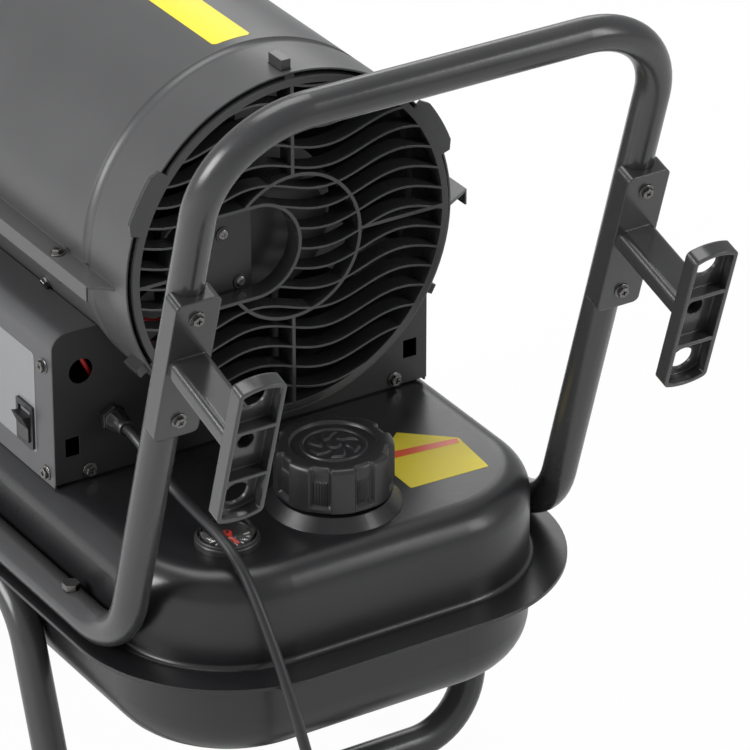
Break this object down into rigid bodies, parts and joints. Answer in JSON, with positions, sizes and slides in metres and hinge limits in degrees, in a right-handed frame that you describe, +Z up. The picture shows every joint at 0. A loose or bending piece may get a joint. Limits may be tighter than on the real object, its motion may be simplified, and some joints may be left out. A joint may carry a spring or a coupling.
{
  "type": "forced air heater",
  "caption": "Wheeled oil-fired forced air heater: ribbed fan guard on a long barrel over a flanged fuel tank, with tube handle, stand and cord hooks.",
  "frame": {"origin": "on the floor, in the middle of the length and of the width", "axes": "+X along the barrel towards the air inlet and the handle, +Z up, the control panel faces -Y"},
  "size_m": [0.7665, 0.4322, 0.6104],
  "materials": {
    "barrel_paint": "satin",
    "housing_paint": "satin",
    "panel_face": "satin",
    "tank_paint": "satin",
    "frame_paint": "satin",
    "chamber_steel": "brushed",
    "cast_aluminium": "cast",
    "black_steel": "matte",
    "bright_steel": "zinc plated",
    "brass": "satin",
    "fan_blades": "satin",
    "graphite": "matte",
    "guard_plastic": "satin",
    "hook_plastic": "satin",
    "cap_plastic": "matte",
    "black_plastic": "matte",
    "rocker_plastic": "gloss",
    "gauge_metal": "satin",
    "clear_plastic": "clear",
    "red_plastic": "gloss",
    "seal_rubber": "matte",
    "cord_rubber": "matte",
    "wire_red": "satin",
    "porcelain": "glazed",
    "board": "satin",
    "hose": "satin",
    "tyre": "matte",
    "rim_paint": "satin"
  },
  "bodies": {
    "heater": {"upper_shell": "barrel_paint", "lower_shell": "barrel_paint", "outlet_ring": "chamber_steel", "combustion_chamber": "chamber_steel", "chamber_supports": "chamber_steel", "flame_disc": "chamber_steel", "burner_head": "chamber_steel", "fuel_nozzle": "brass", "igniter": "porcelain", "photocell": "black_plastic", "motor_bracket": "cast_aluminium", "motor_body": "cast_aluminium", "pump_body": "cast_aluminium", "pump_end_cover": "black_steel", "fan_guard": "guard_plastic", "rear_plate": "housing_paint", "front_plate": "housing_paint", "base_plate": "housing_paint", "control_panel": "panel_face", "side_cover": "housing_paint", "switch_bezel": "black_plastic", "cord_gland": "black_plastic", "power_cord": "cord_rubber", "cord_coil": "cord_rubber", "power_plug": "black_plastic", "ignition_transformer": "black_steel", "control_board": "board", "motor_wire": "wire_red", "tank_upper": "tank_paint", "tank_lower": "tank_paint", "drain_plug": "tank_paint", "filler_neck": "tank_paint", "gauge_body": "gauge_metal", "gauge_lens": "clear_plastic", "fuel_line": "hose", "fuel_filter": "hose", "air_line": "hose", "rear_handle": "frame_paint", "stand_frame": "frame_paint", "tube_plugs": "black_plastic", "frame_bolts": "bright_steel", "cord_hook_left": "hook_plastic", "cord_hook_right": "hook_plastic", "hook_screws": "bright_steel", "shell_screws": "bright_steel", "housing_screws": "bright_steel", "axle": "bright_steel", "axle_caps": "black_plastic"},
    "spinner": {"motor_shaft": "bright_steel", "fan": "fan_blades", "pump_rotor": "graphite"},
    "left_wheel": {"tyre_left": "tyre", "rim_left": "rim_paint"},
    "right_wheel": {"tyre_right": "tyre", "rim_right": "rim_paint"},
    "rocker": {"switch_rocker": "rocker_plastic"},
    "seal": {"cap_seal": "seal_rubber"},
    "cap": {"fuel_cap": "cap_plastic"},
    "needle": {"gauge_needle": "red_plastic"},
    "float": {"float_arm": "black_plastic"}
  },
  "joints": [
    {"name": "fan_spin", "type": "hinge", "parent": "heater", "child": "spinner", "pos_m": [0, 0, 0.414], "axis": [1, 0, 0], "continuous": true},
    {"name": "left_wheel_spin", "type": "hinge", "parent": "heater", "child": "left_wheel", "pos_m": [-0.215, -0.1868, 0.1], "axis": [0, 1, 0], "continuous": true},
    {"name": "right_wheel_spin", "type": "hinge", "parent": "heater", "child": "right_wheel", "pos_m": [-0.215, 0.1868, 0.1], "axis": [0, 1, 0], "continuous": true},
    {"name": "switch_rock", "type": "hinge", "parent": "heater", "child": "rocker", "pos_m": [0.06, -0.1347, 0.2863], "axis": [1, 0, 0], "range_deg": [-24, 0]},
    {"name": "cap_lift", "type": "slide", "parent": "heater", "child": "seal", "axis": [0, 0, 1], "range_m": [0, 0.06]},
    {"name": "cap_turn", "type": "hinge", "parent": "seal", "child": "cap", "pos_m": [0.2, 0.002, 0.29], "axis": [0, 0, 1], "range_deg": [0, 360]},
    {"name": "float_swing", "type": "hinge", "parent": "heater", "child": "float", "pos_m": [0.209, -0.08, 0.225], "axis": [0, 1, 0], "range_deg": [-40, 36]},
    {"name": "needle_turn", "type": "hinge", "parent": "heater", "child": "needle", "pos_m": [0.209, -0.08, 0.261], "axis": [0, 0, 1], "range_deg": [-80, 72]}
  ],
  "couplings": [
    {"joint": "needle_turn", "follows": "float_swing", "ratio": 2}
  ]
}
